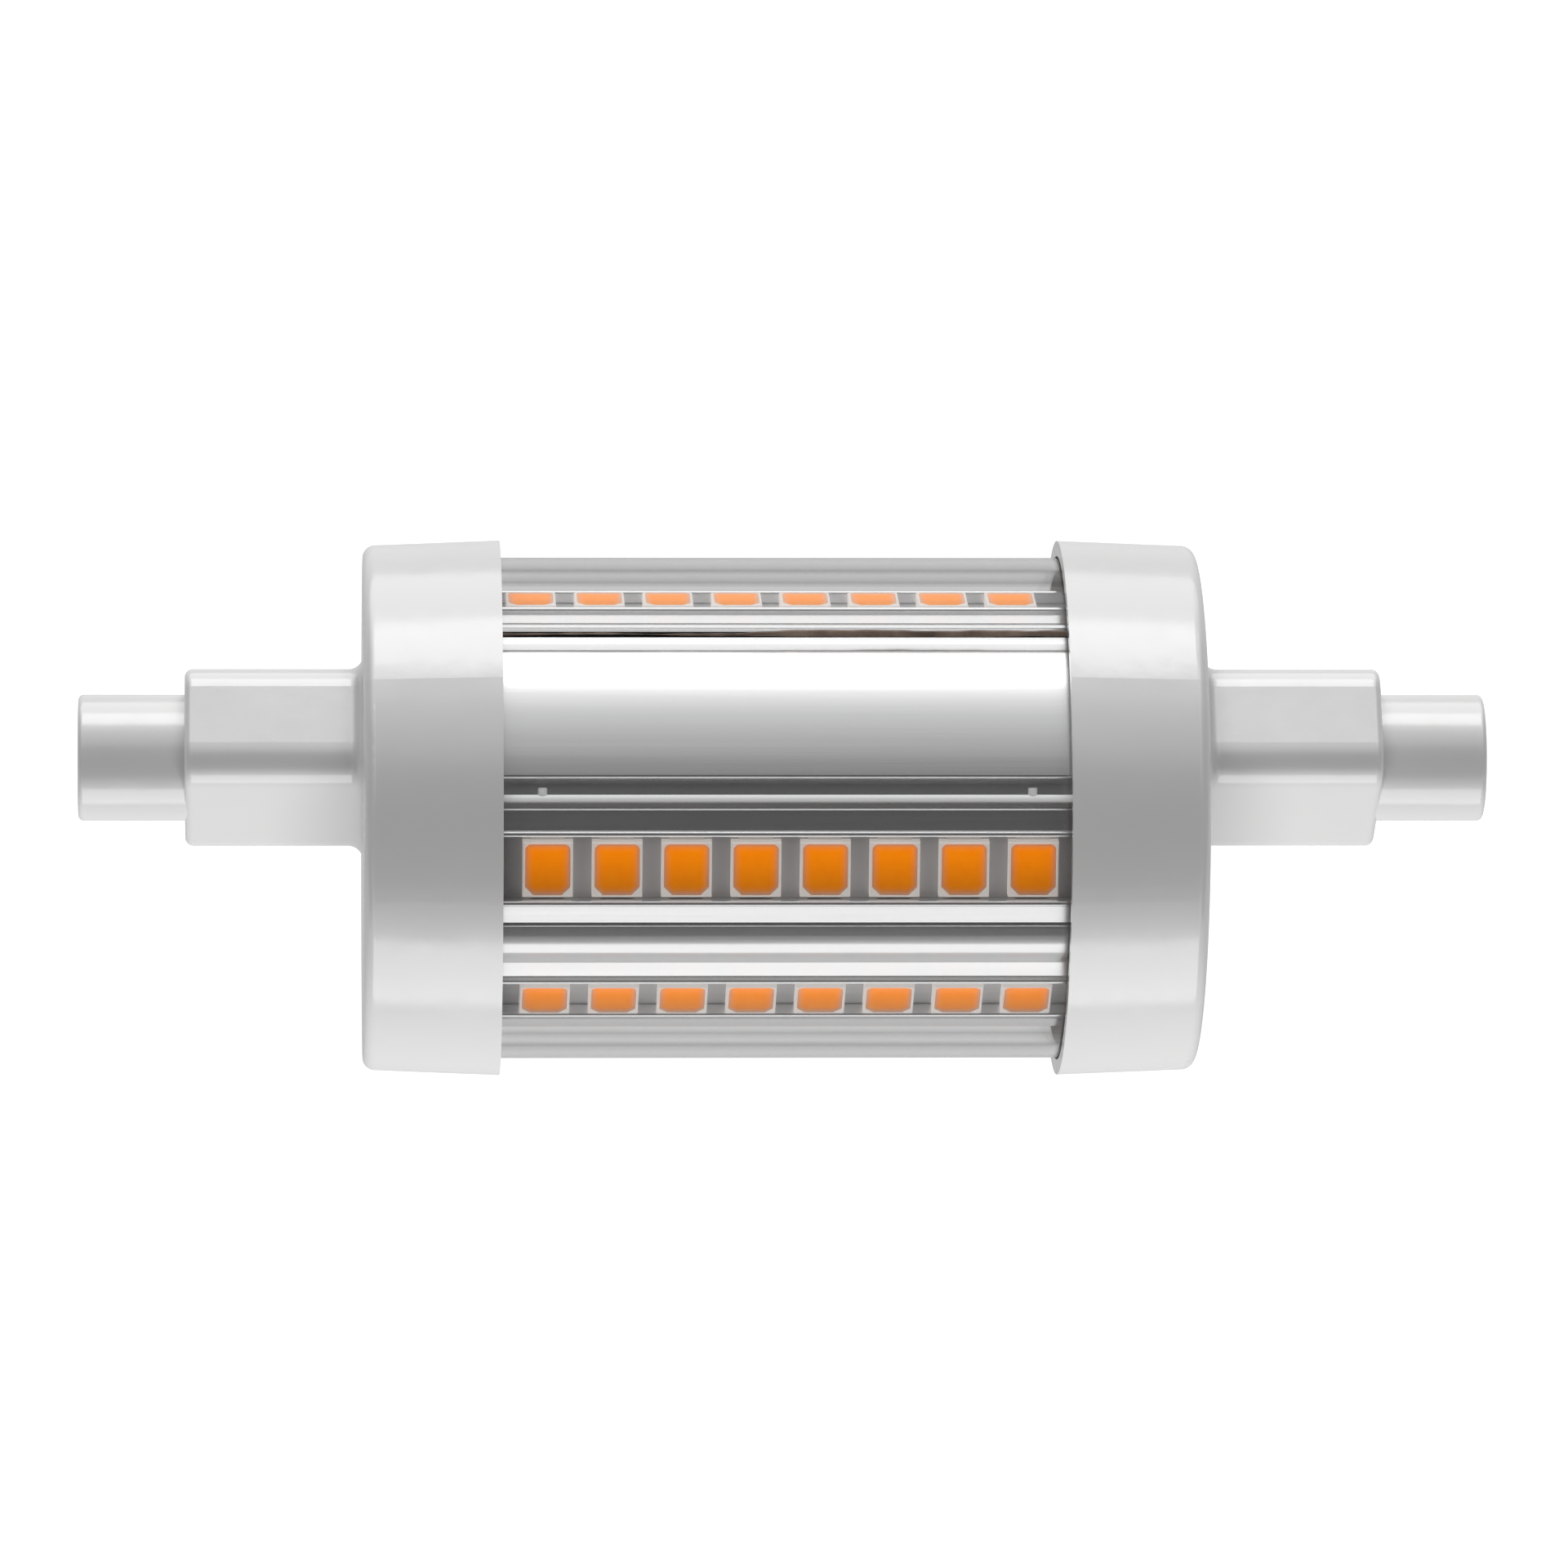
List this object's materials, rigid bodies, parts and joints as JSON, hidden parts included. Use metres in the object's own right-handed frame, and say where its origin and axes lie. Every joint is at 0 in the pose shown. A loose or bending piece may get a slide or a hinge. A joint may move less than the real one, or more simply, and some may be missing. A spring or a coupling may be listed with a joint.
{
  "type": "linear LED bulb",
  "caption": "Double-ended linear LED bulb: finned aluminium barrel with rows of LEDs under a clear C-shaped cover, white end caps with offset necks and recessed contact tips.",
  "frame": {"origin": "midpoint between the two end caps on the axis of their round drums, which is the centre of the bounding box", "axes": "+X along the lamp towards the right contact tip; +Z from the drum axis to the middle of the bare spine of the heat sink, the side the contacts are set off to; +Y completes the right-handed frame"},
  "size_m": [0.078, 0.0298, 0.0298],
  "materials": {
    "cap_plastic": "smooth white moulded plastic",
    "contact_metal": "nickel plated, satin",
    "heat_sink_aluminium": "bright extruded aluminium with fine drawn lines along its length",
    "cover_clear": "clear polished plastic",
    "led_board_metal": "grey coated metal-core board",
    "led_white": "white moulded package",
    "led_phosphor": "orange phosphor gel, smooth",
    "sleeve_film": "natural white tube",
    "driver_laminate": "green solder mask",
    "capacitor_can": "black shrink sleeve",
    "choke_ferrite": "dark ferrite",
    "component_black": "black moulded package",
    "resistor_coat": "cream coating",
    "lead_insulation": "soft white insulation",
    "link_copper": "bare copper"
  },
  "bodies": {
    "root": {"bridge_rectifier": "component_black", "choke": "choke_ferrite", "clear_cover": "cover_clear", "driver_board": "driver_laminate", "driver_chip": "component_black", "fusible_resistor": "resistor_coat", "heat_sink": "heat_sink_aluminium", "insulating_sleeve": "sleeve_film", "led_board_1": "led_board_metal", "led_board_2": "led_board_metal", "led_board_3": "led_board_metal", "led_board_4": "led_board_metal", "led_board_5": "led_board_metal", "led_board_6": "led_board_metal", "led_board_7": "led_board_metal", "led_bodies_1": "led_white", "led_bodies_2": "led_white", "led_bodies_3": "led_white", "led_bodies_4": "led_white", "led_bodies_5": "led_white", "led_bodies_6": "led_white", "led_bodies_7": "led_white", "led_phosphor_1": "led_phosphor", "led_phosphor_2": "led_phosphor", "led_phosphor_3": "led_phosphor", "led_phosphor_4": "led_phosphor", "led_phosphor_5": "led_phosphor", "led_phosphor_6": "led_phosphor", "led_phosphor_7": "led_phosphor", "left_board_links": "link_copper", "left_contact": "contact_metal", "left_end_cap": "cap_plastic", "left_lead_wire": "lead_insulation", "right_board_links": "link_copper", "right_contact": "contact_metal", "right_end_cap": "cap_plastic", "right_lead_wire": "lead_insulation", "storage_capacitor": "capacitor_can"}
  },
  "joints": []
}
